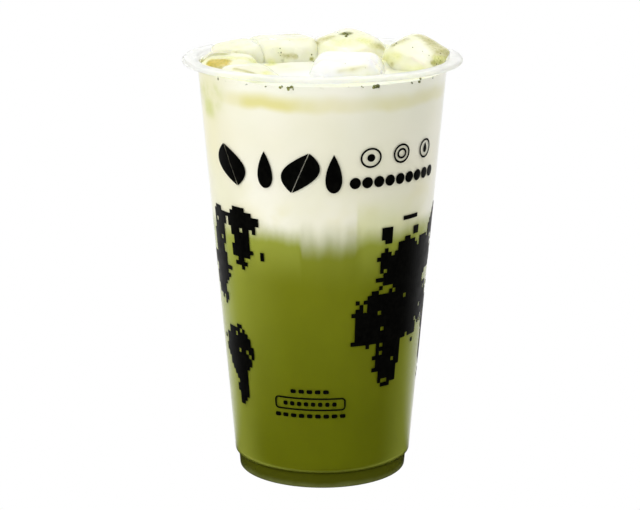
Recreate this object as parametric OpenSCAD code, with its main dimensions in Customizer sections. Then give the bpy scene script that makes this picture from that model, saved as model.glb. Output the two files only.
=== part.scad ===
// Iced matcha latte in an open takeaway cup.
// A thin-walled, tapered polypropylene cup with a wide sealing rim and a stepped foot holds
// a green matcha layer, a milk layer on top of it, and ice cubes that stand out of the milk.
// Millimetres, +Z up. The origin is the centre of the foot, on the surface the cup stands on.
// The side with the milk plume faces -Y.

/* [Cup] */
// Height of the cup from the foot to the top of the rim
cup_height = 144.5; // [120:0.5:175]
// Outer diameter of the rim
rim_d = 95; // [80:0.5:114]
// How far the rim reaches out past the wall
rim_reach = 5; // [3:0.25:7]
// Thickness of the rim, top to bottom
rim_t = 1.7; // [1.2:0.1:2.5]
// Radius of the smooth bend from the inner wall to the top of the rim
mouth_round = 1.8; // [0.8:0.1:2.6]
// Thickness of the wall
wall_t = 0.6; // [0.4:0.05:1.2]
// Outer diameter of the foot where it stands
foot_d = 58; // [46:0.5:70]
// Height of the stacking step above the surface the cup stands on
foot_h = 5.8; // [4:0.1:9]
// Width of the stacking step
step_w = 1.1; // [0.5:0.1:2]
// How much wider in radius the foot is at the step than where it stands
foot_flare = 0.5; // [0:0.1:1]
// Thickness of the foot ring
foot_t = 1.2; // [0.8:0.1:2]
// Thickness of the floor
floor_t = 0.8; // [0.5:0.1:1.5]
// Radius of the corner between the floor and the wall, inside
floor_round = 2.5; // [1:0.1:4]

/* [Drink] */
// Depth of the surface of the milk below the top of the rim
headspace = 4.6; // [4.4:0.1:12]
// Depth of the matcha, from the floor to the milk
matcha_h = 85.6; // [60:0.5:95]
// How far the milk plume hangs down into the matcha
plume_drop = 5; // [2:0.5:10]
// Radius of the plume's rounded end
plume_r = 26; // [15:1:34]

/* [Ice] */
// Side of a full ice cube
ice_side = 23; // [18:0.5:28]
// Gap between an ice cube and the wall
ice_wall_gap = 0.4; // [0.2:0.1:1]
// Gap between two ice cubes
ice_gap = 0.4; // [0.2:0.1:1]

/* [Hidden] */
$fn = 64;

edge_round = 0.7;       // rounded outer edges of the rim, the step and the foot
under_rim_round = 1.2;  // bend between the wall and the underside of the rim
step_cover = 0.4;       // how far the floor lies below the top of the stacking step
arc_steps = 8;          // straight pieces in each rounded corner
plume_side = 2;         // how far the plume lies to the right of the cup's middle
plume_depth = 3;        // how far the plume's middle lies inside the wall
melt_share = 0.585;     // a melted cube's reach out to its edges, over its side
corner_share = 0.67;    // a melted cube's reach out to its corners, over its side

rim_r = rim_d / 2;
foot_r = foot_d / 2;
wall_top_r = rim_r - rim_reach;
wall_low_r = foot_r + foot_flare + step_w;
floor_z = foot_h - step_cover;
milk_z = cup_height - headspace;
matcha_z = floor_z + matcha_h;

// Outer and inner radius of the sloping wall at height z
function wall_r(z) = wall_low_r + (wall_top_r - wall_low_r) * (z - foot_h) / (cup_height - foot_h);
function inner_r(z) = wall_r(z) - wall_t;

// The corner b of an outline a-b-c, rounded to radius r: the points of its arc
function unit(v) = v / norm(v);
function cross2(u, v) = u[0] * v[1] - u[1] * v[0];
function rounded_corner(a, b, c, r) =
    let (u = unit(a - b), v = unit(c - b),
         half = acos(u * v) / 2,
         centre = b + unit(u + v) * r / sin(half),
         first = b + u * r / tan(half),
         side = cross2(u, v) > 0 ? -1 : 1,
         sweep = 180 - 2 * half,
         from = first - centre)
    [for (i = [0 : arc_steps])
        let (t = side * sweep * i / arc_steps)
        centre + [from[0] * cos(t) - from[1] * sin(t), from[0] * sin(t) + from[1] * cos(t)]];

// An outline from corners [x, z, radius]; a radius of 0 keeps the corner sharp
function outline(corners) =
    let (n = len(corners))
    [for (i = [0 : n - 1])
        let (p = corners[(i + n - 1) % n], q = corners[i], s = corners[(i + 1) % n])
        for (point = q[2] > 0
                ? rounded_corner([p[0], p[1]], [q[0], q[1]], [s[0], s[1]], q[2])
                : [[q[0], q[1]]])
            point];

// The cup's cross-section, from the axis out: underside, foot, wall, rim, inside, floor
module cup_section() {
    ring_inner_r = foot_r - foot_t;
    polygon(outline([
        [0, floor_z - floor_t, 0],
        [ring_inner_r, floor_z - floor_t, edge_round],
        [ring_inner_r, 0, edge_round / 2],
        [foot_r, 0, edge_round / 2],
        [foot_r + foot_flare, foot_h, edge_round / 2],
        [wall_low_r, foot_h, edge_round / 2],
        [wall_r(cup_height - rim_t), cup_height - rim_t, under_rim_round],
        [rim_r, cup_height - rim_t, edge_round],
        [rim_r, cup_height, edge_round],
        [inner_r(cup_height), cup_height, mouth_round],
        [inner_r(floor_z), floor_z, floor_round],
        [0, floor_z, 0]
    ]));
}

// The space inside the cup from the floor up to height top
module cavity(top) {
    rotate_extrude()
        polygon(outline([
            [0, floor_z, 0],
            [inner_r(floor_z), floor_z, floor_round],
            [inner_r(top), top, 0],
            [0, top, 0]
        ]));
}

// Where a cube may float: a gap inside the wall, and free to lean out over the rim
module ice_space() {
    rotate_extrude()
        polygon(outline([
            [0, floor_z, 0],
            [inner_r(floor_z) - ice_wall_gap, floor_z, floor_round],
            [inner_r(cup_height) - ice_wall_gap, cup_height + ice_wall_gap,
             mouth_round + ice_wall_gap],
            [rim_r, cup_height + ice_wall_gap, 0],
            [rim_r, cup_height + ice_side, 0],
            [0, cup_height + ice_side, 0]
        ]));
}

module cup() {
    color([0.93, 0.94, 0.92, 0.45])
        rotate_extrude() cup_section();
}

// The milk that sinks down into the matcha at the front of the cup
module plume() {
    translate([plume_side, plume_depth - inner_r(matcha_z), matcha_z + plume_r - plume_drop])
        sphere(r = plume_r);
}

module matcha_layer() {
    color([0.42, 0.46, 0.07])
        difference() {
            cavity(matcha_z);
            plume();
        }
}

// A part-melted ice cube of side s, with flat faces and well rounded edges and corners
module melted_cube(s) {
    intersection() {
        cube(s, center = true);
        cylinder(h = 2 * s, r = melt_share * s, center = true);
        rotate([90, 0, 0]) cylinder(h = 2 * s, r = melt_share * s, center = true);
        rotate([0, 90, 0]) cylinder(h = 2 * s, r = melt_share * s, center = true);
        sphere(r = corner_share * s);
    }
}

// Where each cube floats: its direction from the cup's axis, its distance from the axis as a
// share of the mouth's radius, its centre's height above the milk, its turn, and its size as a
// share of a full cube
ICE = [
    // direction, distance, height, turn, size
    [8, 0.775, -1.6, [19, 24, -32], 0.88],
    [70, 0.62, -4.1, [12, 14, -42], 1.02],
    [-50, 0.31, -5.6, [8, 2, -6], 1.02],
    [120, 0.66, -5.0, [-6, -1, 20], 1.10],
    [174, 0.78, -5.6, [8, 8, -10], 0.82],
    [221, 0.77, -5.4, [14, 4, 36], 0.80],
    [150, 0.80, -3.4, [6, -12, 24], 0.84],
];

// Cube i of the list, grown by a gap all round
module floating_cube(i, gap = 0) {
    mouth_r = inner_r(milk_z);
    direction = ICE[i][0];
    distance = ICE[i][1] * mouth_r;
    translate([distance * cos(direction), distance * sin(direction), milk_z + ICE[i][2]])
        rotate(ICE[i][3])
            melted_cube(ICE[i][4] * ice_side + 2 * gap);
}

// Cube i as it floats: inside the wall, and giving way to the cubes before it
module ice(i) {
    color([0.88, 0.90, 0.80, 0.8])
        difference() {
            intersection() {
                floating_cube(i);
                ice_space();
            }
            for (j = [0 : 1 : i - 1]) floating_cube(j, ice_gap);
        }
}

module milk_layer() {
    color([0.95, 0.93, 0.83])
        difference() {
            union() {
                difference() {
                    cavity(milk_z);
                    translate([0, 0, -1]) cylinder(h = matcha_z + 1, r = rim_r);
                }
                intersection() {
                    cavity(matcha_z);
                    plume();
                }
            }
            for (i = [0 : len(ICE) - 1]) ice(i);
        }
}

cup();
matcha_layer();
milk_layer();
ice(0);  // ice_right
ice(1);  // ice_back
ice(2);  // ice_centre
ice(3);  // ice_back_left
ice(4);  // ice_left
ice(5);  // ice_front_left
ice(6);  // ice_far_left
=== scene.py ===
# Iced matcha latte in an open takeaway cup: the looks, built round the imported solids.
# Metres, +Z up. The origin is the centre of the foot and the printed side faces -Y.
import math
import random
from statistics import fmean

import bmesh
import bpy
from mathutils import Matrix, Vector, noise
from mathutils.bvhtree import BVHTree


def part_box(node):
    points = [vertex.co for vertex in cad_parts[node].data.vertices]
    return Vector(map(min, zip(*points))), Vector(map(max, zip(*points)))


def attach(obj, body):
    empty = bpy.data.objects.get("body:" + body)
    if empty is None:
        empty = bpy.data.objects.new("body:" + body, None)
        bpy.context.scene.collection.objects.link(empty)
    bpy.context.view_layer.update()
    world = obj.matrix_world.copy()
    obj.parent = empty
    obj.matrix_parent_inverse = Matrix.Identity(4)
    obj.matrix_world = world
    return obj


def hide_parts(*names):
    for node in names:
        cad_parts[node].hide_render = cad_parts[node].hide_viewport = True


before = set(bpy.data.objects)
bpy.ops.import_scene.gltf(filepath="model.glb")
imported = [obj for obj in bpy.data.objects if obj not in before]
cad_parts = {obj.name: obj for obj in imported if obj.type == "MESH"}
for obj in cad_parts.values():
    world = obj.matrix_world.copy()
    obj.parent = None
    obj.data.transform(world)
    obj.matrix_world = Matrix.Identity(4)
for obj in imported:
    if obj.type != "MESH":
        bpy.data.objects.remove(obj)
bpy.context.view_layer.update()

MM = 0.001
ICE_NODES = ["ice_right", "ice_back", "ice_centre", "ice_back_left", "ice_left", "ice_front_left",
             "ice_far_left"]

# -------------------- sizes, from the frame

CUP_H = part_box("cup")[1].z
RIM_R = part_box("cup")[1].y
FLOOR_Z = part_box("matcha_layer")[0].z
MATCHA_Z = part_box("matcha_layer")[1].z
MILK_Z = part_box("milk_layer")[1].z

RIM_REACH = 5 * MM
RIM_T = 1.7 * MM
MOUTH_ROUND = 1.8 * MM
UNDER_RIM_ROUND = 1.2 * MM
EDGE_ROUND = 0.7 * MM
WALL_T = 0.6 * MM
FOOT_R = 29 * MM
FOOT_H = 5.8 * MM
FOOT_FLARE = 0.5 * MM
FOOT_T = 1.2 * MM
STEP_W = 1.1 * MM
FLOOR_T = 0.8 * MM
FLOOR_ROUND = 2.5 * MM

WALL_TOP_R = RIM_R - RIM_REACH
WALL_LOW_R = FOOT_R + FOOT_FLARE + STEP_W
INTO_WALL = 0.15 * MM       # how far the drink reaches into the wall, so that no gap shows
TURN_STEPS = 192            # segments of everything that is round about the cup's axis
SHARP = math.radians(40)    # edges that bend more than this stay sharp
WELD = 0.001 * MM           # points nearer than this are made one
ABOVE_ALL = CUP_H + 30 * MM  # height from which the top of the ice and the milk is sought


def wall_r(z):
    """Outer radius of the sloping wall at height z."""
    return WALL_LOW_R + (WALL_TOP_R - WALL_LOW_R) * (z - FOOT_H) / (CUP_H - FOOT_H)


def inner_r(z):
    """Inner radius of the sloping wall at height z."""
    return wall_r(z) - WALL_T


def smooth_step(low, high, x):
    """0 below low, 1 above high and a smooth rise between."""
    t = min(max((x - low) / (high - low), 0.0), 1.0)
    return t * t * (3 - 2 * t)


# -------------------- mesh helpers

def rounded_outline(corners, arc_steps=6):
    """Points of an open outline from corners (x, z, radius), with each corner rounded."""
    points = []
    for i, (x, z, radius) in enumerate(corners):
        corner = Vector((x, z))
        if radius == 0:
            points.append(corner)
            continue
        back = (Vector(corners[i - 1][:2]) - corner).normalized()
        ahead = (Vector(corners[i + 1][:2]) - corner).normalized()
        half = back.angle(ahead) / 2
        centre = corner + (back + ahead).normalized() * radius / math.sin(half)
        first = corner + back * radius / math.tan(half) - centre
        last = corner + ahead * radius / math.tan(half) - centre
        sweep = first.angle(last)
        for k in range(arc_steps + 1):
            t = k / arc_steps
            share = (math.sin((1 - t) * sweep), math.sin(t * sweep))
            points.append(centre + (first * share[0] + last * share[1]) / math.sin(sweep))
    return points


def spun(points, steps=TURN_STEPS):
    """A bmesh of the (x, z) points joined in order and spun a full turn about the cup's axis."""
    bm = bmesh.new()
    verts = [bm.verts.new((x, 0, z)) for x, z in points]
    edges = [bm.edges.new(pair) for pair in zip(verts, verts[1:])]
    bmesh.ops.spin(bm, geom=verts + edges, cent=(0, 0, 0), axis=(0, 0, 1),
                   angle=2 * math.pi, steps=steps, use_merge=True)
    bmesh.ops.remove_doubles(bm, verts=bm.verts, dist=WELD)
    bmesh.ops.recalc_face_normals(bm, faces=bm.faces)
    return bm


def in_scene(name, data):
    """A new object of the mesh, the light or the camera, in the scene."""
    obj = bpy.data.objects.new(name, data)
    bpy.context.scene.collection.objects.link(obj)
    return obj


def new_mesh(name, bm):
    """A mesh made of the bmesh, which is freed."""
    mesh = bpy.data.meshes.new(name)
    bm.to_mesh(mesh)
    bm.free()
    return mesh


def piece(name, bm, materials, replaces=(), smooth=True):
    """Makes the bmesh a piece of the drink: named, finished, riding on the body."""
    for edge in bm.edges:
        edge.smooth = edge.calc_face_angle(0) < SHARP
    obj = in_scene(name, new_mesh(name, bm))
    for material in materials:
        obj.data.materials.append(material)
    obj.data.polygons.foreach_set("use_smooth", [smooth] * len(obj.data.polygons))
    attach(obj, "root")
    if replaces:
        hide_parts(*replaces)
    return obj


def seen_from_above(tree, x, y):
    """The first place that a search tree's mesh is hit at straight down, or None."""
    return tree.ray_cast(Vector((x, y, ABOVE_ALL)), Vector((0, 0, -1)))[0]


# -------------------- shader helpers

def fill_inputs(tree, node, values):
    """Links each of a node's inputs, by name or number, if its value is a socket, or sets it."""
    for key, value in values.items():
        if isinstance(value, bpy.types.NodeSocket):
            tree.links.new(value, node.inputs[key])
        else:
            node.inputs[key].default_value = value
    return node


def set_inputs(tree, node, **inputs):
    """Sets or links a node's inputs, by name with underscores for spaces."""
    return fill_inputs(tree, node, {key.replace("_", " "): inputs[key] for key in inputs})


def add_node(tree, kind, **inputs):
    """Adds a shader node of a kind, and sets or links its inputs."""
    return set_inputs(tree, tree.nodes.new("ShaderNode" + kind), **inputs)


def math_node(tree, operation, a, b=0.0, c=0.0):
    """The output of a Math node on up to three numbers or sockets."""
    node = add_node(tree, "Math")
    node.operation = operation
    return fill_inputs(tree, node, {0: a, 1: b, 2: c}).outputs[0]


def plus(tree, a, b):
    return math_node(tree, "ADD", a, b)


def minus(tree, a, b):
    return math_node(tree, "SUBTRACT", a, b)


def times(tree, a, b):
    return math_node(tree, "MULTIPLY", a, b)


def times_plus(tree, a, b, c):
    """a times b, and c added."""
    return math_node(tree, "MULTIPLY_ADD", a, b, c)


def most(tree, first, *others):
    """The largest of several values."""
    for value in others:
        first = math_node(tree, "MAXIMUM", first, value)
    return first


def ramp(tree, value, low, high, to_low=0.0, to_high=1.0):
    """A smooth rise of value from low..high to to_low..to_high."""
    node = add_node(tree, "MapRange")
    node.interpolation_type = "SMOOTHSTEP"
    return set_inputs(tree, node, Value=value, From_Min=low, From_Max=high, To_Min=to_low,
                      To_Max=to_high).outputs["Result"]


def window(tree, value, edges):
    """1 between two smooth edges and 0 outside them: it rises over two values, falls over two."""
    rise_from, rise_to, fall_from, fall_to = edges
    return times(tree, ramp(tree, value, rise_from, rise_to), ramp(tree, value, fall_to, fall_from))


def mix(tree, share, a, b, blend="MIX"):
    """The colour a turned into b by share."""
    node = add_node(tree, "Mix")
    node.data_type = "RGBA"
    node.blend_type = blend
    return fill_inputs(tree, node, {0: share, 6: a, 7: b}).outputs[2]


def noise_value(tree, vector, scale, detail=2.0, roughness=0.5, along_z=1.0):
    """A noise pattern of the given scale, from 0 to 1, drawn out where along_z is below 1."""
    mapping = add_node(tree, "Mapping", Vector=vector, Scale=(1, 1, along_z))
    texture = add_node(tree, "TexNoise", Vector=mapping.outputs[0], Scale=scale,
                       Detail=detail, Roughness=roughness)
    return texture.outputs["Fac"]


def centred(tree, value, height):
    """A 0-to-1 pattern turned into one that swings evenly about 0 by the given height."""
    return times_plus(tree, value, height, -height / 2)


def patchy(tree, place, scale, detail, low, high, to_low=0.0, to_high=1.0, along_z=1.0):
    """A noise pattern whose low..high becomes a smooth rise over to_low..to_high."""
    pattern = noise_value(tree, place, scale, detail, along_z=along_z)
    return ramp(tree, pattern, low, high, to_low, to_high)


def bumps(tree, place, scale, detail, strength, depth, along_z=1.0):
    """The normal of a noisy surface with bumps of the given strength and depth."""
    height = noise_value(tree, place, scale, detail, along_z=along_z)
    return add_node(tree, "Bump", Strength=strength, Distance=depth, Height=height).outputs[0]


def mixed_shader(tree, share, a, b):
    """A node that turns the shader a into b by share."""
    return fill_inputs(tree, add_node(tree, "MixShader"),
                       {0: share, 1: a.outputs[0], 2: b.outputs[0]})


def new_group(name, inputs, outputs):
    """An empty shader group with its sockets, each {name: kind}, and its input and output nodes."""
    tree = bpy.data.node_groups.new(name, "ShaderNodeTree")
    for direction, sockets in (("INPUT", inputs), ("OUTPUT", outputs)):
        for label, kind in sockets.items():
            tree.interface.new_socket(name=label, in_out=direction, socket_type="NodeSocket" + kind)
    return tree, tree.nodes.new("NodeGroupInput"), tree.nodes.new("NodeGroupOutput")


def use_group(tree, group, **inputs):
    """Places a group in a tree and sets or links its inputs."""
    node = add_node(tree, "Group")
    node.node_tree = group
    return set_inputs(tree, node, **inputs)


def new_material(name):
    """A material with its node tree, object coordinates, Principled shader and output."""
    material = bpy.data.materials.new(name)
    material.use_nodes = True
    tree = material.node_tree
    place = add_node(tree, "TexCoord").outputs["Object"]
    return material, tree, place, tree.nodes["Principled BSDF"], tree.nodes["Material Output"]


def colour(r, g, b):
    """A linear colour from a display colour of 0 to 255."""
    def linear(c):
        c /= 255
        return c / 12.92 if c <= 0.04045 else ((c + 0.055) / 1.055) ** 2.4
    return (linear(r), linear(g), linear(b), 1.0)


# -------------------- shared effects

# The tea at the top and at the bottom: its darkening downwards is painted shade
TEA_TOP = colour(119, 124, 22)
TEA_BOTTOM = colour(97, 102, 5)
# Paler, cloudy tea near the milk, also used as painted light at the lit left and at the drink's
# edges
LIT_AND_CLOUDY_TEA = colour(170, 177, 78)
MILK = colour(244, 241, 228)
SHADED_MILK = colour(240, 236, 218)
CLEAN_MILK = (0.96, 0.94, 0.86, 1)
CLOUD = colour(226, 218, 142)
STAIN = colour(204, 208, 120)
GRAIN_SHADE = (0.78, 0.8, 0.62, 1)  # what grains of powder do to the colour under them

BLEND_H = 8 * MM            # height over which the tea turns into milk
BLEND_DROP = 0.7 * MM       # how far its middle lies below the top of the matcha layer
PLUME_DROP = 1.1 * MM       # how much lower the milk reaches in the plume at the front
FINGER_REACH = 2 * MM       # height of the fingers of milk, from root to tip
PLUME_FINGER_REACH = 3.4 * MM  # how much higher they are in the plume
BAND_Z = MILK_Z - 7.2 * MM  # lower edge of the tea-tinted band below the surface

# Directions in degrees from the front: where a mark starts, is full, is still full and ends
PLUME_TURNS = (-12.6, -10.2, 17, 24)
BESIDE_TURNS = (16.6, 18.4, 26, 75)
VEIL_TURNS = (-75, -55, -42, -24)
BAND_TURNS = (-48, -36, -20, 4)
SMEAR_TURNS = (-78, -70, -66, -58)
WASH_TURNS = (-96, -80, -62, -48)
HAZE_TURNS = (-100, -80, -68, -46)
# Heights in the same way: the band's above BAND_Z, the others' above the foot
BAND_HEIGHTS = (-1.6 * MM, 1.2 * MM, 1.8 * MM, 6.5 * MM)
SMEAR_HEIGHTS = (MILK_Z - 15 * MM, MILK_Z - 11 * MM, MILK_Z - 9 * MM, MILK_Z - 5 * MM)
WASH_HEIGHTS = (MILK_Z - 12 * MM, MILK_Z - 7 * MM, MILK_Z - 3 * MM, MILK_Z)


def tea_and_milk_group():
    """Tea below, milk above and soft hanging fingers where they meet, from the place alone."""
    colours = ("Tea Top", "Tea Bottom", "Cloudy Tea", "Milk", "Shaded Milk", "Cloud", "Stain")
    tree, source, result = new_group(
        "tea_and_milk", {"Vector": "Vector"} | {name: "Color" for name in colours},
        {"Colour": "Color", "Milkiness": "Float"})
    place, tea_top, tea_bottom, cloudy, milk, shaded, cloud, stain = source.outputs[:8]
    x, y, z = add_node(tree, "SeparateXYZ", Vector=place).outputs[:3]
    turn = times(tree, math_node(tree, "ARCTAN2", x, times(tree, y, -1.0)), 180 / math.pi)
    turned = plus(tree, turn, centred(tree, noise_value(tree, place, 190, 1, along_z=0.3), 5))

    # The boundary: lower in the plume, which has a clear left and a soft right edge
    plume = window(tree, turned, PLUME_TURNS)
    level = times_plus(tree, plume, PLUME_DROP, minus(tree, z, MATCHA_Z - BLEND_DROP))
    reach = times_plus(tree, plume, PLUME_FINGER_REACH, FINGER_REACH)
    fingers = centred(tree, noise_value(tree, place, 210, 1, along_z=0.16), 1.0)
    level = plus(tree, level, times(tree, reach, fingers))
    fine = noise_value(tree, place, 420, 2, along_z=0.35)
    level = plus(tree, level, centred(tree, fine, 1.2 * MM))
    level = plus(tree, level, centred(tree, noise_value(tree, place, 40, 1), 5 * MM))
    spread = times_plus(tree, plume, -0.45, 1.0)
    milkiness = ramp(tree, times(tree, level, spread), -BLEND_H / 2, BLEND_H / 2)

    # Tea risen into the milk: veils low down, soft clouds, and a band at the top
    beside = times(tree, window(tree, turn, BESIDE_TURNS), ramp(tree, level, 15 * MM, 3 * MM))
    left_veil = times(tree, window(tree, turn, VEIL_TURNS), ramp(tree, level, 12 * MM, 2 * MM))
    low_clouds = times(tree, patchy(tree, place, 60, 3, 0.45, 0.75, along_z=1.5),
                       ramp(tree, level, 24 * MM, 2 * MM))
    uneven = centred(tree, noise_value(tree, place, 75, 2, along_z=0.5), 5 * MM)
    edge = plus(tree, minus(tree, z, BAND_Z), uneven)
    patches = most(tree, patchy(tree, place, 60, 2, 0.3, 0.6, 0.3, 0.7, along_z=0.6),
                   window(tree, turned, BAND_TURNS))
    patches = times(tree, patches, ramp(tree, turned, 62, 25, 0.6, 1.0))
    band = times(tree, patches, window(tree, edge, BAND_HEIGHTS))
    left_side = ramp(tree, turned, -35, -60)
    left_haze = times(tree, window(tree, turn, HAZE_TURNS),
                      ramp(tree, z, MILK_Z - 45 * MM, MILK_Z - 22 * MM))
    risen = most(tree, times(tree, left_veil, 0.3), times(tree, low_clouds, 0.35),
                 times(tree, band, 0.85), times(tree, left_haze, 0.32),
                 times(tree, left_side, 0.12))

    # Stains: a smear and a mottled wash at the left, and greener milk beside the plume
    left_smear = times(tree, window(tree, turned, SMEAR_TURNS), window(tree, z, SMEAR_HEIGHTS))
    left_wash = times(tree, window(tree, turned, WASH_TURNS), window(tree, z, WASH_HEIGHTS))
    mottled = patchy(tree, place, 260, 3, 0.35, 0.65, 0.1, 0.5)
    stained = most(tree, times(tree, left_smear, 0.75), times(tree, left_wash, mottled),
                   times(tree, beside, 0.42))

    # The tea darkens towards the bottom by painted shade, holds faint suspended streaks, and is
    # paler near the milk and, by painted light, at the lit left
    depth = ramp(tree, z, FLOOR_Z, MATCHA_Z)
    tea = mix(tree, depth, tea_bottom, tea_top)
    shade = times_plus(tree, noise_value(tree, place, 90, 4, along_z=0.6), 0.2, 0.9)
    grey = add_node(tree, "CombineColor", Red=shade, Green=shade, Blue=shade)
    tea = mix(tree, 1.0, tea, grey.outputs[0], "MULTIPLY")
    paler = times(tree, ramp(tree, level, -20 * MM, -1 * MM, 0, 0.58),
                  times_plus(tree, plume, -0.55, 1.0))
    # Painted light: the tea is paler at the left, where the lamp falls
    lit_side = times(tree, ramp(tree, turn, -15, -55, 0, 0.36), depth)
    for share in (paler, lit_side):
        tea = mix(tree, share, tea, cloudy)

    # The milk, cleanest above the band
    milk = mix(tree, patchy(tree, place, 30, 2, 0.35, 0.65), milk, shaded)
    above_band = ramp(tree, edge, 2.5 * MM, 6 * MM)
    clean = times(tree, above_band, minus(tree, 1.0, left_side))
    milk = mix(tree, times(tree, clean, 0.7), milk, CLEAN_MILK)
    milk = mix(tree, risen, milk, cloud)
    milk = mix(tree, stained, milk, stain)
    set_inputs(tree, result, Colour=mix(tree, milkiness, tea, milk), Milkiness=milkiness)
    return tree


def smear_group():
    """A painted smear, of tea and in a few places of painted shade: where it is dark, its edges are
    broken and it holds powder.
    """
    tree, source, result = new_group(
        "tea_smear", {"Vector": "Vector", "Base": "Color", "Tint": "Color", "Amount": "Float"},
        {"Colour": "Color"})
    place, base, tint, amount = source.outputs[:4]
    blue = add_node(tree, "SeparateColor", Color=tint).outputs["Blue"]
    powdery = ramp(tree, blue, 0.6, 0.2)
    ragged = centred(tree, noise_value(tree, place, 330, 3, 0.6), 1.6)
    torn = times_plus(tree, ragged, powdery, amount)
    torn = times(tree, ramp(tree, torn, 0.0, 1.2), ramp(tree, amount, 0.0, 0.3))
    grains = ramp(tree, noise_value(tree, place, 1100, 2, 0.65), 0.48, 0.6)
    tinted = mix(tree, torn, base, tint)
    grain_colour = mix(tree, 1.0, tinted, GRAIN_SHADE, "MULTIPLY")
    share = times(tree, grains, times(tree, torn, powdery))
    set_inputs(tree, result, Colour=mix(tree, share, tinted, grain_colour))
    return tree


TEA_AND_MILK = tea_and_milk_group()
SMEAR = smear_group()


# -------------------- materials

def drink_behind_wall(name):
    """The drink as it shows through the wall: no gloss of its own, and paler at its edges by
    painted light, where the tea is thin.
    """
    material, tree, place, shader, _ = new_material(name)
    layers = use_group(tree, TEA_AND_MILK, Vector=place, Tea_Top=TEA_TOP,
                       Tea_Bottom=TEA_BOTTOM, Cloudy_Tea=LIT_AND_CLOUDY_TEA, Milk=MILK,
                       Shaded_Milk=SHADED_MILK, Cloud=CLOUD, Stain=STAIN)
    milkiness = layers.outputs["Milkiness"]
    # Painted light: at glancing angles the tea turns paler, as if light came through it there
    glancing = add_node(tree, "LayerWeight", Blend=0.5).outputs["Facing"]
    glow = times(tree, ramp(tree, glancing, 0.16, 0.42, 0, 0.65), minus(tree, 1.0, milkiness))
    set_inputs(tree, shader, Specular_IOR_Level=0.05,
               Base_Color=mix(tree, glow, layers.outputs["Colour"], LIT_AND_CLOUDY_TEA),
               Roughness=ramp(tree, milkiness, 0, 1, 0.7, 0.55))
    return material


def smeared(tree, place, base):
    """The base colour with the smears that are painted on the mesh."""
    paint = add_node(tree, "Attribute")
    paint.attribute_name = "smear"
    return use_group(tree, SMEAR, Vector=place, Base=base, Tint=paint.outputs["Color"],
                     Amount=paint.outputs["Alpha"]).outputs["Colour"]


def milk_surface():
    """The open surface of the milk: creamy, wet and soft, with washes of tea and, where it meets
    the ice, some painted shade.
    """
    material, tree, place, shader, _ = new_material("milk_surface")
    cream = mix(tree, patchy(tree, place, 70, 3, 0.35, 0.7),
                colour(251, 251, 236), colour(246, 246, 218))
    set_inputs(tree, shader, Base_Color=smeared(tree, place, cream),
               Roughness=patchy(tree, place, 320, 2, 0.3, 0.7, 0.3, 0.4),
               Subsurface_Weight=0.3, Subsurface_Radius=(1.0, 0.8, 0.45),
               Subsurface_Scale=2 * MM, Normal=bumps(tree, place, 160, 3, 0.05, 0.3 * MM))
    return material


def milky_ice():
    """Melting ice under a film of milk: cloudy cream, warmer in patches, smeared with tea and with
    a few lines of painted shade.
    """
    material, tree, place, shader, _ = new_material("milky_ice")
    film = noise_value(tree, place, 110, 3)
    cream = mix(tree, ramp(tree, film, 0.35, 0.7), colour(242, 243, 204), colour(249, 249, 226))
    warm = mix(tree, patchy(tree, place, 60, 2, 0.5, 0.75), cream, colour(248, 242, 216))
    set_inputs(tree, shader, Base_Color=smeared(tree, place, warm),
               Roughness=ramp(tree, film, 0.3, 0.7, 0.1, 0.28),
               Subsurface_Weight=0.45, Subsurface_Radius=(1.0, 0.9, 0.5),
               Subsurface_Scale=3 * MM, Normal=bumps(tree, place, 260, 3, 0.3, 0.4 * MM))
    return material


def through_to_lamps(tree, shader, output, tint):
    """Lets the lamps shine straight through a clear material, with a tint."""
    lamps = add_node(tree, "LightPath").outputs["Is Shadow Ray"]
    through = add_node(tree, "BsdfTransparent", Color=tint)
    either = mixed_shader(tree, lamps, shader, through)
    set_inputs(tree, output, Surface=either.outputs[0])


def clear_wall():
    """Clear, very slightly milky polypropylene that lets the light through to the drink."""
    material, tree, place, shader, output = new_material("clear_wall")
    clear = mix(tree, patchy(tree, place, 40, 2, 0.3, 0.7),
                colour(252, 253, 250), colour(247, 250, 244))
    set_inputs(tree, shader, Base_Color=clear, Transmission_Weight=1.0, IOR=1.25,
               Roughness=patchy(tree, place, 150, 3, 0.3, 0.7, 0.06, 0.11),
               Normal=bumps(tree, place, 60, 2, 0.04, 0.1 * MM, along_z=0.25))
    through_to_lamps(tree, shader, output, (0.95, 0.955, 0.94, 1))
    return material


def frosted_rim():
    """The thick rim, where the plastic looks white and only lets a soft glow through."""
    material, tree, place, shader, output = new_material("frosted_rim")
    cloudy = patchy(tree, place, 90, 3, 0.3, 0.7)
    white = mix(tree, cloudy, colour(254, 254, 251), colour(250, 251, 249))
    set_inputs(tree, shader, Base_Color=white, Transmission_Weight=0.75, IOR=1.2,
               Roughness=ramp(tree, cloudy, 0, 1, 0.3, 0.42))
    through_to_lamps(tree, shader, output, (0.93, 0.93, 0.92, 1))
    return material


def foot_painted_light():
    """The hollow foot, with the tea's green light painted into its colour: paler where it stands by
    painted light from the floor, darker up under the step by painted shade.
    """
    material, tree, place, shader, output = new_material("foot_painted_light")
    height = add_node(tree, "SeparateXYZ", Vector=place).outputs["Z"]
    uneven = plus(tree, height, centred(tree, noise_value(tree, place, 120, 2), 2 * MM))
    # Painted light and shade: pale at the bottom, tea green above, and darkest in the shade under
    # the step
    tint = mix(tree, ramp(tree, uneven, 0.2 * MM, 2.5 * MM),
               colour(124, 130, 74), colour(90, 94, 18))
    tint = mix(tree, ramp(tree, uneven, 3 * MM, 5.6 * MM), tint, colour(83, 87, 10))
    set_inputs(tree, shader, Base_Color=tint, Transmission_Weight=0.4, IOR=1.2,
               Roughness=patchy(tree, place, 150, 3, 0.3, 0.7, 0.1, 0.18))
    through_to_lamps(tree, shader, output, (0.6, 0.62, 0.4, 1))
    return material


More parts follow.
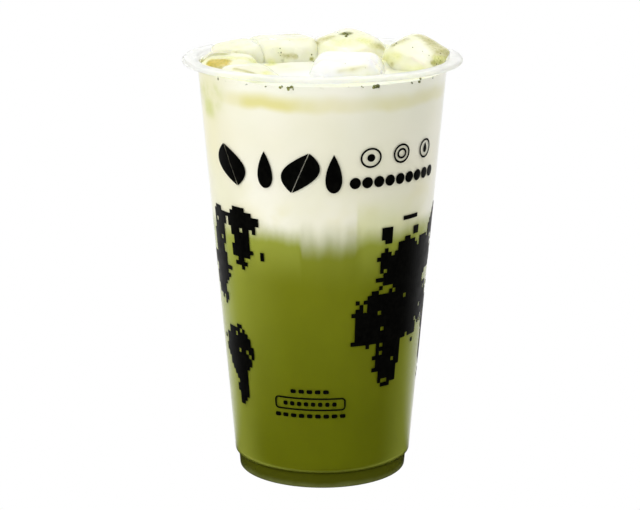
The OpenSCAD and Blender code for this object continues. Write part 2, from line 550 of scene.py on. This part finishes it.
def black_ink():
    """Printed ink: black, a little uneven and with hardly any gloss."""
    material, tree, place, shader, _ = new_material("black_ink")
    black = mix(tree, patchy(tree, place, 700, 3, 0.3, 0.75),
                (0.0015, 0.0015, 0.0012, 1), (0.004, 0.004, 0.003, 1))
    set_inputs(tree, shader, Base_Color=black, Specular_IOR_Level=0.02,
               Roughness=patchy(tree, place, 260, 2, 0.3, 0.7, 0.3, 0.42))
    return material


def tea_powder():
    """Wet specks of tea powder, from dark to pale olive."""
    material, tree, place, shader, _ = new_material("tea_powder")
    shade = patchy(tree, place, 350, 2, 0.35, 0.65)
    set_inputs(tree, shader, Base_Color=mix(tree, shade, colour(84, 90, 30),
                                            colour(146, 148, 76)),
               Roughness=ramp(tree, shade, 0, 1, 0.35, 0.6))
    return material


# -------------------- cup

CLEAR, FROSTED, FOOT_PAINTED = range(3)
FROST_H = 0.4 * MM          # how far the frosted rim reaches down past the rim's underside
FOOT_PAINT_H = 0.2 * MM           # how far the foot's painted light and shade reach up past the step


def cup_piece():
    ring_inner_r = FOOT_R - FOOT_T
    section = rounded_outline([
        (0, FLOOR_Z - FLOOR_T, 0),
        (ring_inner_r, FLOOR_Z - FLOOR_T, EDGE_ROUND),
        (ring_inner_r, 0, EDGE_ROUND / 2),
        (FOOT_R, 0, EDGE_ROUND / 2),
        (FOOT_R + FOOT_FLARE, FOOT_H, EDGE_ROUND / 2),
        (WALL_LOW_R, FOOT_H, EDGE_ROUND / 2),
        (wall_r(CUP_H - RIM_T), CUP_H - RIM_T, UNDER_RIM_ROUND),
        (RIM_R, CUP_H - RIM_T, EDGE_ROUND),
        (RIM_R, CUP_H, EDGE_ROUND),
        (inner_r(CUP_H), CUP_H, MOUTH_ROUND),
        (inner_r(FLOOR_Z), FLOOR_Z, FLOOR_ROUND),
        (0, FLOOR_Z, 0)])
    bm = spun(section)
    for face in bm.faces:
        z = face.calc_center_median().z
        face.material_index = CLEAR
        if z > CUP_H - RIM_T - FROST_H:
            face.material_index = FROSTED
        elif z < FOOT_H + FOOT_PAINT_H:
            face.material_index = FOOT_PAINTED
    piece("cup_shell", bm, [clear_wall(), frosted_rim(), foot_painted_light()], ["cup"])


# -------------------- ice

OLIVE = colour(176, 176, 92)
SAGE = colour(208, 204, 150)
DARK_OLIVE = colour(118, 124, 40)
LIME = colour(240, 242, 168)
PALE_GREEN = colour(240, 246, 204)
AMBER = colour(206, 184, 52)
PINK = colour(252, 240, 220)
# a pinkish grey painted shadow, for the line under the right cube
PAINTED_SHADOW = colour(222, 208, 192)
WHITE = colour(254, 254, 248)

SMEAR_FADE = 1.6            # how far a smear fades out, as a share of its radius
# Smears on the ice and the milk, nearly all of tea and a few of painted shade: from one place to
# another in millimetres, radius, strength, colour
SMEARS = [
    # the cube at the left: an amber pool with a dark arc behind it
    ((-40.8, 3.6, 143.2), (-34.8, 4.8, 144.6), 3.2, 1.5, OLIVE),
    ((-40, -0.5, 142.8), (-31, 0.2, 143.9), 2.4, 0.9, LIME),
    ((-36.6, -3.8, 142.4), (-33.2, -3.8, 143), 2.8, 1.53, AMBER),
    ((-37.5, -6, 141), (-35, -6.4, 141), 2, 1.05, SAGE),
    ((-30.6, -0.6, 143.9), (-24.6, 1.5, 142.8), 2, 0.83, LIME),
    ((-24.6, 1.5, 142.8), (-17.3, 8.8, 140.3), 2.2, 0.9, LIME),
    # the cube at the front left: pinkish, with a dark seam along its front
    ((-24.5, -22.7, 144.3), (-19.9, -22.7, 143.6), 4, 0.4, PINK),
    ((-18.8, -25.8, 142.8), (-18, -24, 142.8), 2, 1.05, LIME),
    ((-28.6, -25, 144.1), (-25, -27.3, 143.7), 1.2, 1.05, SAGE),
    ((-25, -27.3, 143.7), (-21.5, -28.8, 142.7), 1.2, 1.05, SAGE),
    # the slab at the back left: pale green, with a dark line of painted shade and two dots at its
    # foot
    ((-32, 20, 146.5), (-22.4, 20.3, 146.5), 7, 0.55, PALE_GREEN),
    ((-23.4, 20.3, 146.5), (-21.4, 20.3, 145), 2.4, 0.83, LIME),
    ((-16, 30, 147.5), (-3, 27, 147.5), 1.6, 0.75, SAGE),
    ((-20.8, 12.3, 143.9), (-17, 11, 142.9), 1.2, 0.9, SAGE),
    ((-17, 11, 142.9), (-9.4, 12, 142.5), 1.2, 1.05, SAGE),
    ((-14.2, 10.9, 141.3), (-14, 10.9, 141), 1, 1.2, DARK_OLIVE),
    ((-3.6, 13.8, 141.3), (-3.4, 13.8, 141.3), 0.9, 1.35, OLIVE),
    # the cube at the back: a dark clot on its top and smears down both sides
    ((7.2, 24, 149.3), (9.2, 24.1, 148.9), 1.7, 1, DARK_OLIVE),
    ((-1.8, 18.7, 146.5), (0.9, 19.2, 147.8), 1.8, 1.05, SAGE),
    ((0.9, 19.2, 147.8), (3.7, 21.7, 148.5), 1.5, 0.9, SAGE),
    ((5, 17, 146), (10, 17.8, 147), 4.5, 0.6, LIME),
    ((13, 18.6, 148), (17.9, 17.4, 145.9), 2.4, 0.9, LIME),
    ((17.9, 17.4, 145.9), (20.9, 19.5, 144.4), 1.8, 0.9, SAGE),
    # the block in the middle: the whitest, with a slit of painted shade along the foot of its
    # front, where the milk meets it
    ((4, -10, 147), (14, -12, 146), 12, 1.3, WHITE),
    ((-9, -14, 140), (2, -19, 140), 10, 1.2, WHITE),
    ((5.5, -21.2, 142.6), (9.8, -21, 143.2), 1.2, 0.65, SAGE),
    ((9.8, -21, 143.2), (14, -20.2, 143.8), 1.3, 1, SAGE),
    ((20, -7.6, 143.2), (23.5, -4.5, 142.4), 1, 1.2, SAGE),
    # the cube at the right: pinkish front, green specks over its right shoulder, a painted shadow
    # line at its foot
    ((30, -4, 147), (33, -6, 144.5), 5, 0.44, PINK),
    ((20.5, -2, 144), (25.1, -4.3, 145), 3, 0.9, LIME),
    ((24, -0.6, 148.2), (28.1, 2.8, 149.8), 1.8, 1.05, SAGE),
    ((33, 5.5, 150.6), (35.9, 3.3, 149.4), 2.2, 0.9, SAGE),
    ((35.9, 3.3, 149.4), (39.8, -0.3, 146.6), 3.4, 1.2, SAGE),
    ((39.8, -0.3, 146.6), (43, 0.8, 145), 3.2, 1.12, SAGE),
    ((38.5, -4, 143.8), (42.3, 0.8, 143.4), 2.4, 1.35, LIME),
    ((37, -6, 143), (40.4, -3.3, 142.9), 1.4, 1.2, OLIVE),
    ((30.1, -5.8, 145), (34.1, -7.9, 142.9), 0.9, 0.75, PAINTED_SHADOW),
    ((27, -8, 141.5), (33, -9, 141), 3, 0.75, LIME),
]

CAD_WELD = 0.01 * MM        # points of a CAD solid nearer than this are made one
VOXEL = 0.6 * MM            # size of the even mesh that a solid is turned into
WEAR_STEPS = 30             # how often its ridges are smoothed down
PUFF = 0.75 * MM            # how far it then swells
TOP_GAP = 0.2 * MM          # how far a worn cube stays below the top of its solid
TOP_BEND = 2.2 * MM         # and below what depth it is left as it is
ICE_GAP = 0.3 * MM          # gap between the ice and the wall
DRY_DEPTH = 3 * MM          # below this depth under the surface nothing is smeared
NO_SMEAR = (0.8, 0.8, 0.5, 0.0)


def soft_cap(value, limit, reach):
    """Bends a value that comes near the limit so that it never passes it."""
    start = limit - reach
    return value if value < start else start + reach * math.tanh((value - start) / reach)


def keep_inside(point):
    """Moves a point of the ice off the wall, below the rim."""
    r, farthest = math.hypot(point.x, point.y), inner_r(point.z) - ICE_GAP
    if point.z < CUP_H - MOUTH_ROUND and r > farthest:
        point.x *= farthest / r
        point.y *= farthest / r


def ice_piece(name, material):
    """A melting cube: the node's solid with its ridges worn off and its faces gone uneven."""
    bm = bmesh.new()
    bm.from_mesh(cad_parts[name].data)
    bmesh.ops.remove_doubles(bm, verts=bm.verts, dist=CAD_WELD)
    holder = in_scene(name + "_raw", new_mesh(name + "_raw", bm))
    remesh = holder.modifiers.new("remesh", "REMESH")
    remesh.mode = "VOXEL"
    remesh.voxel_size = VOXEL
    graph = bpy.context.evaluated_depsgraph_get()
    even = bpy.data.meshes.new_from_object(holder.evaluated_get(graph))
    bpy.data.objects.remove(holder)
    bm = bmesh.new()
    bm.from_mesh(even)
    for _ in range(WEAR_STEPS):
        bmesh.ops.smooth_vert(bm, verts=bm.verts, factor=0.5, use_axis_x=True,
                              use_axis_y=True, use_axis_z=True)
    bm.normal_update()
    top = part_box(name)[1].z
    for vert in bm.verts:
        dents = noise.noise(vert.co * 95) * 0.5 + noise.noise(vert.co * 330) * 0.12
        vert.co += vert.normal * (PUFF + dents * MM)
    for vert in bm.verts:
        vert.co.z = soft_cap(vert.co.z, top - TOP_GAP, TOP_BEND)
        keep_inside(vert.co)
    bmesh.ops.recalc_face_normals(bm, faces=bm.faces)
    return piece(name + "_melting", bm, [material], [name])


def paint_smears(obj):
    """Writes the smear attribute, a colour and its strength, on the ice or the milk."""
    values = []
    for vert in obj.data.vertices:
        if vert.co.z < MILK_Z - DRY_DEPTH:
            values += NO_SMEAR
            continue
        amount, total, mixed = 0.0, 1e-9, Vector((0, 0, 0))
        for start, end, radius, strength, tint in SMEARS:
            begin, along = Vector(start) * MM, (Vector(end) - Vector(start)) * MM
            share = (vert.co - begin).dot(along) / max(along.length_squared, 1e-12)
            away = (vert.co - begin - along * min(max(share, 0), 1)).length / MM
            cover = strength * (1 - smooth_step(0, SMEAR_FADE * radius, away))
            weight = 1e-6 + math.exp(-3 * away / radius) * strength
            amount = max(amount, cover)
            total += weight
            mixed += Vector(tint[:3]) * weight
        values += [*(mixed / total), amount]
    attribute = obj.data.attributes.new("smear", "FLOAT_COLOR", "POINT")
    attribute.data.foreach_set("color", values)


def ice_pieces():
    material = milky_ice()
    cubes = [ice_piece(name, material) for name in ICE_NODES]
    for cube in cubes:
        paint_smears(cube)
    return cubes


def surface_tree(objects):
    """One search tree over the meshes of several pieces."""
    bm = bmesh.new()
    for obj in objects:
        bm.from_mesh(obj.data)
    tree = BVHTree.FromBMesh(bm)
    bm.free()
    return tree


# -------------------- drink

MILK_TURN_STEPS = 320       # segments round the milk, finer than the rest
MILK_RINGS = 110            # and rings across it
SIDE_STEPS = 40             # rings up the side of a layer of the drink
SIDE_REACH = 0.5 * MM       # how far from the wall the milk still counts as behind it


def drink_section(low_z, top_z, floor_round=0.0, rings=70):
    """Outline of a layer from the axis along its bottom, up the wall and back to the axis."""
    low_r, top_r = inner_r(low_z) + INTO_WALL, inner_r(top_z) + INTO_WALL
    bottom = rounded_outline([(0, low_z, 0), (low_r, low_z, floor_round), (top_r, top_z, 0)])[:-1]
    side = [bottom[-1].lerp(Vector((top_r, top_z)), k / SIDE_STEPS)
            for k in range(1, SIDE_STEPS + 1)]
    top = [Vector((top_r * (1 - k / rings), top_z)) for k in range(1, rings + 1)]
    return bottom + side + top


def matcha_piece():
    material = drink_behind_wall("matcha_behind_wall")
    bm = spun(drink_section(FLOOR_Z - INTO_WALL, MATCHA_Z, FLOOR_ROUND))
    piece("matcha", bm, [material], ["matcha_layer"])


FILM_CELL = 1.0 * MM        # grid on which the film of milk between the cubes is worked out
FILM_REACH = 3              # half the widest gap that it fills, in cells
FILM_SOFT = 2               # how far its heights are averaged, in cells
FILM_DROP = 0.25 * MM       # how far it lies below the tops of the cubes


def filled_heights(ice):
    """Height of the ice over a grid, with the narrow gaps between the cubes filled."""
    half = round(RIM_R / FILM_CELL)
    heights = {}
    for i in range(-half, half + 1):
        for j in range(-half, half + 1):
            hit = seen_from_above(ice, i * FILM_CELL, j * FILM_CELL)
            heights[i, j] = max(hit.z, MILK_Z) if hit else MILK_Z
    # grown, shrunk by two cells more so that it stays off the cubes' outer sides, and averaged
    for pick, reach in ((max, FILM_REACH), (min, FILM_REACH + 2), (fmean, FILM_SOFT)):
        span = range(-reach, reach + 1)
        disc = [(a, b) for a in span for b in span if a * a + b * b <= reach ** 2]
        heights = {(i, j): pick([heights.get((i + a, j + b), MILK_Z) for a, b in disc])
                   for i, j in heights}
    return heights


def film_height(filled, x, y):
    """The filled height at a place, between the four cells round it."""
    i, j = math.floor(x / FILM_CELL), math.floor(y / FILM_CELL)
    across, along = x / FILM_CELL - i, y / FILM_CELL - j
    near = filled[i, j] * (1 - across) + filled[i + 1, j] * across
    far = filled[i, j + 1] * (1 - across) + filled[i + 1, j + 1] * across
    return near * (1 - along) + far * along - FILM_DROP


CLIMB = 0.9 * MM            # how far the milk climbs the wall in front
BACK_CLIMB = 2.3 * MM       # and how much farther behind
CLIMB_FADE = 1.2 * MM
CLING = 0.6 * MM            # how far it climbs the ice
CLING_FADE = 3 * MM
SWELL = 0.35 * MM           # unevenness of its open surface
CALM_EDGE = 4 * MM          # where the unevenness fades out, from the wall


def milk_height(x, y, ice, filled):
    """Height of the milk's open surface: it climbs the wall and fills the gaps in the ice."""
    r = math.hypot(x, y)
    place = Vector((x, y, MILK_Z))
    to_wall = max(inner_r(MILK_Z) - r, 0)
    to_ice = ice.find_nearest(place)[3]
    behind = smooth_step(-0.3, 0.5, y / max(r, MM)) * (1 + 0.3 * noise.noise(place * 60))
    climb = (CLIMB + BACK_CLIMB * behind) * math.exp(-to_wall / CLIMB_FADE)
    cling = CLING * math.exp(-to_ice / CLING_FADE)
    swell = SWELL * noise.noise(place * 70) * smooth_step(0, CALM_EDGE, to_wall)
    return max(MILK_Z + climb + cling + swell, film_height(filled, x, y))


def milk_piece(ice):
    bm = spun(drink_section(MATCHA_Z, MILK_Z, rings=MILK_RINGS), MILK_TURN_STEPS)
    filled = filled_heights(ice)
    for vert in bm.verts:
        if vert.co.z > MILK_Z - 0.01 * MM:
            vert.co.z = milk_height(vert.co.x, vert.co.y, ice, filled)
    bm.normal_update()
    for face in bm.faces:
        middle = face.calc_center_median()
        inside = math.hypot(middle.x, middle.y) < inner_r(middle.z) - SIDE_REACH
        on_top = face.normal.z > 0.5 or inside and middle.z > MILK_Z - MM
        face.material_index = 1 if on_top else 0
    milk = piece("milk", bm, [drink_behind_wall("milk_behind_wall"), milk_surface()],
                 ["milk_layer"])
    paint_smears(milk)
    return milk


def on_wall(turn, z, lift):
    """The place at a direction from the front in radians and a height, lifted off the wall."""
    r = wall_r(z) + lift
    return Vector((r * math.sin(turn), -r * math.cos(turn), z))


def speck(bm, place, size, dice):
    """Adds one lump of tea powder, squashed and turned at random."""
    made = bmesh.ops.create_icosphere(bm, subdivisions=1, radius=size / 2)
    squash = Vector((dice.uniform(0.7, 1.4), dice.uniform(0.7, 1.2), dice.uniform(0.5, 0.9)))
    way = Vector((dice.random(), dice.random(), dice.random())).normalized()
    turn = way.to_track_quat("Z", "Y")
    for vert in made["verts"]:
        rough = 1 + 0.25 * noise.noise(vert.co * 3000 + place * 900)
        vert.co = turn @ (vert.co * squash * rough) + place


# Clots of powder at the liquid line: direction from the front in degrees, grains, grain size
CLOTS = [(-54.8, 2, 1.0), (-35.5, 1, 0.5), (-26.1, 2, 0.6), (-18.5, 3, 0.9), (-14.3, 4, 1.0),
         (-13.3, 3, 0.9), (-0.2, 2, 0.45), (17.6, 2, 0.7), (23.6, 5, 1.1), (25.2, 5, 1.2),
         (44.4, 2, 0.7), (49.9, 4, 0.9), (60.9, 2, 0.6), (100, 5, 0.9), (128, 3, 0.8),
         (150, 6, 1.0), (188, 4, 0.8), (215, 5, 1.0), (262, 4, 0.9)]
LINE_GRAINS = 22            # single fine grains all round the liquid line
# Powder on the ice and the milk: place in millimetres, spread, grains, grain size
GRAIN_SPOTS = [(8.2, 23.6, 1.8, 12, 0.9), (-14.2, 10.6, 1.4, 4, 0.5), (-3.6, 13.6, 0.8, 3, 0.5),
               (-14, 11, 6, 3, 0.35), (8, 24, 4, 4, 0.35), (38, -2, 6, 6, 0.4), (39, -5, 2, 5, 0.6),
               (25, 0, 2, 4, 0.45), (14, -22, 8, 2, 0.3)]
LINE_LIFT = 0.02 * MM - WALL_T  # the powder at the liquid line lies on the wall's inside
SHORE = 1 * MM              # no powder floats nearer to the wall than this


def speck_piece(ice, milk):
    """Specks of tea powder: clots at the liquid line, grains on the ice and on the milk."""
    dice = random.Random(7)
    bm = bmesh.new()
    for direction, grains, size in CLOTS:
        for _ in range(grains):
            turn = math.radians(direction + dice.gauss(0, 0.5))
            z = MILK_Z + dice.gauss(0.6, 0.25) * MM
            speck(bm, on_wall(turn, z, LINE_LIFT), dice.uniform(0.8, 1.3) * size * MM, dice)
    for _ in range(LINE_GRAINS):
        turn = math.radians(dice.uniform(0, 360))
        z = MILK_Z + dice.gauss(0.4, 0.5) * MM
        speck(bm, on_wall(turn, z, LINE_LIFT), dice.uniform(0.2, 0.35) * MM, dice)
    for centre_x, centre_y, spread, grains, size in GRAIN_SPOTS:
        for _ in range(grains):
            x = (centre_x + dice.gauss(0, spread / 2)) * MM
            y = (centre_y + dice.gauss(0, spread / 2)) * MM
            if math.hypot(x, y) > inner_r(MILK_Z) - SHORE:
                continue
            hits = [seen_from_above(tree, x, y) for tree in (ice, milk)]
            place = max((hit for hit in hits if hit), key=lambda hit: hit.z)
            speck(bm, place, dice.uniform(0.7, 1.4) * size * MM, dice)
    piece("tea_specks", bm, [tea_powder()])


# -------------------- print

INK_LIFT = 0.02 * MM        # the ink's underside above the wall
INK_T = 0.05 * MM           # thickness of the ink
STRIP_W = 1.2 * MM          # width of the strips that a flat drawing is bent in


def cut_narrow(bm):
    """Cuts a flat drawing into strips narrow enough to bend round the wall."""
    low, high = min(v.co.x for v in bm.verts), max(v.co.x for v in bm.verts)
    cut = low + STRIP_W
    while cut < high:
        bmesh.ops.bisect_plane(bm, geom=bm.verts[:] + bm.edges[:] + bm.faces[:],
                               plane_co=(cut, 0, 0), plane_no=(1, 0, 0))
        cut += STRIP_W
    return bm


def flat_shape(outline):
    """A flat filled outline, ready to bend round the wall."""
    bm = bmesh.new()
    bm.faces.new([bm.verts.new((x * MM, y * MM, 0)) for x, y in outline])
    return cut_narrow(bm)


def ring(outer, inner):
    """A flat ring between two outlines of as many points, in millimetres."""
    bm = bmesh.new()
    loops = []
    for outline in (outer, inner):
        verts = [bm.verts.new((x * MM, y * MM, 0)) for x, y in outline]
        loops += [bm.edges.new(pair) for pair in zip(verts, verts[1:] + verts[:1])]
    bmesh.ops.bridge_loops(bm, edges=loops)
    return cut_narrow(bm)


def ellipse(rx, ry, count=40):
    """Points of an ellipse, in millimetres."""
    turns = [math.radians(360 * k / count) for k in range(count)]
    return [(rx * math.cos(t), ry * math.sin(t)) for t in turns]


def half_leaf(height, width, lean, side, vein=0.3, count=14):
    """The half on one side (1 or -1) of a pointed leaf that leans, in millimetres."""
    points = []
    for k in range(count + 1):
        t = k / count
        x = side * (vein / 2 + (width - vein) / 2 * math.sin(math.pi * t) ** 0.9)
        points.append((x + lean * (t - 0.5), height * (t - 0.5)))
    for up in (0.3, -0.3):
        points.append((side * vein / 2 + lean * up, height * up))
    return points if side > 0 else points[::-1]


def bar(width, height, round_share):
    """A bar with rounded corners, their radius a share of its height, in millimetres."""
    radius = height * round_share
    points = []
    for cx, cy, start in ((1, 1, 0), (-1, 1, 90), (-1, -1, 180), (1, -1, 270)):
        for k in range(7):
            t = math.radians(start + 15 * k)
            points.append((cx * (width / 2 - radius) + radius * math.cos(t),
                           cy * (height / 2 - radius) + radius * math.sin(t)))
    return points


def drop(height, width, count=30):
    """A drop that stands on its round end, in millimetres."""
    points = []
    for k in range(count):
        t = 2 * math.pi * k / count
        points.append((width / 1.54 * math.sin(t) * math.sin(t / 2), height / 2 * math.cos(t)))
    return points[::-1]


def ink_sheet(name, bm, material):
    """Makes a sheet that lies on the wall a piece of ink, with its faces turned outwards."""
    for face in bm.faces:
        middle = face.calc_center_median()
        if face.normal.dot(Vector((middle.x, middle.y, 0))) < 0:
            face.normal_flip()
    bm.normal_update()
    bmesh.ops.solidify(bm, geom=bm.faces[:], thickness=-INK_T)
    bmesh.ops.recalc_face_normals(bm, faces=bm.faces)
    piece(name, bm, [material], smooth=False)


def ink_piece(name, drawings, material):
    """Prints flat drawings, each (bmesh, direction in degrees, height in mm), on the wall."""
    whole = bmesh.new()
    for bm, direction, z in drawings:
        r_here = wall_r(z * MM)
        for vert in bm.verts:
            turn = math.radians(direction) + vert.co.x / r_here
            vert.co = on_wall(turn, z * MM + vert.co.y, INK_LIFT)
        mesh = new_mesh("joined", bm)
        whole.from_mesh(mesh)
        bpy.data.meshes.remove(mesh)
    ink_sheet(name, whole, material)


CELL_TURN = 2.25            # width of one printed block, in degrees
CELL_H = 1.45               # height of one printed block, in millimetres
BLOCKS_LOW_Z = 24           # the heights between which blocks are printed, in millimetres
BLOCKS_HIGH_Z = 100
CORE, EDGE, FRINGE = 0.75, 1.0, 1.2  # how far out an island's parts reach, over its half size
CORE_HOLES, EDGE_HOLES, FRINGE_BLANK = 0.025, 0.1, 0.94  # share of blocks left out in each
# Islands of blocks: direction, height, half width, half height and how ragged they are
ISLANDS = [
    (-46, 92.5, 10.5, 5.2, 0.2), (-47, 84.5, 6.5, 8, 0.2), (-33, 82, 1.4, 1.2, 0),
    (-67, 88, 8, 9, 0.6), (-69, 74, 9, 10, 0.7), (-57, 46.5, 14, 9, 0.15), (-55, 36, 6.5, 9, 0.2),
    (57, 78, 26, 9, 0.35), (28.5, 58.5, 12, 8, 0.2), (52, 62, 27, 11, 0.25),
    (40, 46.5, 9.5, 11, 0.2),
    (35, 90.2, 3, 2.8, 0.5), (51, 94.2, 5.4, 1.2, 0.2), (56, 89.3, 3, 1, 0.1),
    (84, 88, 10, 7, 0.6), (84, 50, 7, 12, 0.5), (118, 62, 18, 14, 0.5), (148, 84, 14, 8, 0.6),
    (160, 50, 9, 12, 0.4), (196, 66, 22, 16, 0.5), (228, 88, 12, 7, 0.6), (246, 54, 12, 12, 0.45),
    (262, 74, 9, 6, 0.7),
]


def inside_island(direction, z):
    """Whether the block at this direction and height belongs to an island."""
    nearest = math.inf
    for number, (mid_turn, mid_z, half_turn, half_h, ragged) in enumerate(ISLANDS):
        across = ((direction - mid_turn + 180) % 360 - 180) / half_turn
        up = (z - mid_z) / half_h
        wear = 1.1 * ragged * noise.noise(Vector((direction * 0.13, z * 0.2, number * 7.3)))
        nearest = min(nearest, math.hypot(across, up) + wear)
    chance = random.Random(int(direction * 20) * 1009 + int(z * 20)).random()
    if nearest < CORE:
        return chance > CORE_HOLES
    if nearest < EDGE:
        return chance > EDGE_HOLES
    return nearest < FRINGE and chance > FRINGE_BLANK


def blocks_piece(material):
    """The blocky islands: one ring of cells round the cup, kept where an island lies."""
    columns = round(360 / CELL_TURN)
    rows = round((BLOCKS_HIGH_Z - BLOCKS_LOW_Z) / CELL_H)
    bm = bmesh.new()
    bmesh.ops.create_grid(bm, x_segments=columns, y_segments=rows, size=1)

    def height(y):
        return BLOCKS_LOW_Z + (y + 1) / 2 * rows * CELL_H

    middles = [(face, face.calc_center_median()) for face in bm.faces]
    outside = [face for face, at in middles if not inside_island(at.x * 180, height(at.y))]
    bmesh.ops.delete(bm, geom=outside, context="FACES")
    for vert in bm.verts:
        vert.co = on_wall(math.pi * vert.co.x, height(vert.co.y) * MM, INK_LIFT)
    bmesh.ops.remove_doubles(bm, verts=bm.verts, dist=WELD)
    bmesh.ops.recalc_face_normals(bm, faces=bm.faces)
    ink_sheet("print_blocks", bm, material)


def dash_row(count, length, gap, tall, direction, z):
    """An even row of equal bars, each as (drawing, direction in degrees, height in mm)."""
    pitch = math.degrees((length + gap) * MM / wall_r(z * MM))
    return [(flat_shape(bar(length, tall, 0.35)), direction + pitch * (k - (count - 1) / 2), z)
            for k in range(count)]


LABEL_TURN = -7.6           # direction of the middle of the label, in degrees
LABEL_Z = 31.1              # and its height, in millimetres
# Its rows of bars: how many, length, height, and where the row lies
LABEL_ROWS = [(5, 1.9, 1.4, 35.6), (8, 1.5, 1.5, LABEL_Z), (9, 1.9, 1.4, 26.8)]
DASH_GAP = 0.9
BEADS = 9                   # how many beads, where the first lies, their pitch and height
FIRST_BEAD_TURN, BEAD_PITCH, BEAD_Z = 15.8, 6.2, 108.4


def print_pieces():
    ink = black_ink()
    bold = [(flat_shape(half_leaf(13.5, 13.5, -6, side)), -50, 112.3) for side in (1, -1)]
    bold += [(flat_shape(half_leaf(13.5, 12.5, 6, side)), -10.6, 112) for side in (1, -1)]
    bold += [(flat_shape(drop(12.5, 5.6)), -28.5, 112.4), (flat_shape(drop(13, 5.6)), 5.4, 111.8)]
    ink_piece("print_bold", bold, ink)
    rings = [(ring(ellipse(3.8, 3.4), ellipse(3.15, 2.75)), 23.4, 116.7),
             (flat_shape(ellipse(1.4, 1.3)), 23.4, 116.7),
             (ring(ellipse(3.5, 3.3), ellipse(2.85, 2.65)), 40.6, 117),
             (ring(ellipse(2.0, 1.8), ellipse(1.3, 1.1)), 40.6, 117),
             (ring(ellipse(3.3, 3.3), ellipse(2.65, 2.65)), 58, 117),
             (flat_shape(drop(3.4, 2)), 58, 117.2)]
    ink_piece("print_rings", rings, ink)
    beads = [(flat_shape(ellipse(1.9, 1.9)), FIRST_BEAD_TURN + BEAD_PITCH * k, BEAD_Z)
             for k in range(BEADS)]
    ink_piece("print_beads", beads, ink)
    label = [(ring(bar(24.6, 4.6, 0.3), bar(23.5, 3.5, 0.24)), LABEL_TURN, LABEL_Z)]
    for count, length, tall, z in LABEL_ROWS:
        label += dash_row(count, length, DASH_GAP, tall, LABEL_TURN, z)
    ink_piece("print_label", label, ink)
    blocks_piece(ink)


# -------------------- stage

LEFT_LIGHT_W = 3.2
TOP_LIGHT_W = 6.3
RIGHT_LIGHT_W = 0.6
DOME_STRENGTH = 0.45        # even light from all round
FRONT_DARK = 0.02           # what gloss mirrors of the room in front of the drink
CEILING_GLOSS = 0.6         # and of the bright ceiling above it
FLOOR_GLOSS = 0.95          # and of the floor behind it


def area_light(name, place, aim, size, watts):
    data = bpy.data.lights.new(name, "AREA")
    data.shape = "SQUARE"
    data.size = size
    data.energy = watts
    lamp = in_scene(name, data)
    lamp.location = place
    lamp.rotation_euler = (Vector(aim) - Vector(place)).to_track_quat("-Z", "Y").to_euler()


def seen_or_mirrored(tree, shader, brightness, output):
    """Makes a shader white to the eye and through clear plastic, and gives gloss a brightness."""
    path = add_node(tree, "LightPath")
    straight = most(tree, path.outputs["Is Camera Ray"], path.outputs["Is Transmission Ray"])
    mirrored = times(tree, path.outputs["Is Glossy Ray"], minus(tree, 1.0, straight))
    white = add_node(tree, "Emission", Strength=1.0)
    gloss = add_node(tree, "Emission", Strength=brightness)
    inner = mixed_shader(tree, mirrored, shader, gloss)
    outer = mixed_shader(tree, straight, inner, white)
    set_inputs(tree, output, Surface=outer.outputs[0])


def stage():
    bm = bmesh.new()
    bmesh.ops.create_grid(bm, x_segments=1, y_segments=1, size=6)
    floor = in_scene("floor", new_mesh("floor", bm))
    material, tree, place, shader, output = new_material("floor_white")
    set_inputs(tree, shader, Base_Color=(0.85, 0.85, 0.85, 1), Roughness=0.9,
               Specular_IOR_Level=0.0)
    x, y = add_node(tree, "SeparateXYZ", Vector=place).outputs[:2]
    span = math_node(tree, "SQRT", times_plus(tree, x, x, times(tree, y, y)))
    behind = math_node(tree, "DIVIDE", y, span)
    seen_or_mirrored(tree, shader, ramp(tree, behind, 0.1, 0.7, FRONT_DARK, FLOOR_GLOSS), output)
    floor.data.materials.append(material)

    world = bpy.data.worlds.new("studio")
    bpy.context.scene.world = world
    world.use_nodes = True
    tree = world.node_tree
    dome = set_inputs(tree, tree.nodes["Background"], Strength=DOME_STRENGTH, Color=(1, 1, 1, 1))
    way = add_node(tree, "SeparateXYZ", Vector=add_node(tree, "TexCoord").outputs["Generated"])
    bright = most(tree, ramp(tree, way.outputs["Y"], 0.1, 0.7, FRONT_DARK, 1.0),
                  ramp(tree, way.outputs["Z"], 0.3, 0.7, 0, CEILING_GLOSS))
    seen_or_mirrored(tree, dome, bright, tree.nodes["World Output"])

    middle = (0, 0, CUP_H / 2)
    area_light("left_light", (-0.75, -0.7, 0.5), middle, 0.7, LEFT_LIGHT_W)
    area_light("top_light", (0.0, 0.1, 1.1), middle, 0.9, TOP_LIGHT_W)
    area_light("right_light", (0.8, -0.3, 0.8), (0, 0, CUP_H), 0.6, RIGHT_LIGHT_W)


EYE = (-0.8 * MM, -734.2 * MM, 258.0 * MM)
EYE_TILT = math.radians(14.0)  # how far the camera looks down
LENS, SENSOR_W = 122.8, 36.0   # in millimetres, as a camera's are given


def camera():
    """A long lens from a little above, square to the printed side."""
    data = bpy.data.cameras.new("camera")
    data.sensor_width = SENSOR_W
    data.lens = LENS
    data.clip_start = 0.05
    data.clip_end = 20
    eye = in_scene("camera", data)
    eye.location = EYE
    eye.rotation_euler = (math.pi / 2 - EYE_TILT, 0, 0)
    bpy.context.scene.camera = eye
    bpy.context.scene.view_settings.view_transform = "Standard"


# -------------------- the drink, put together

camera()
stage()
cup_piece()
ice_tree = surface_tree(ice_pieces())
matcha_piece()
milk = milk_piece(ice_tree)
speck_piece(ice_tree, surface_tree([milk]))
print_pieces()
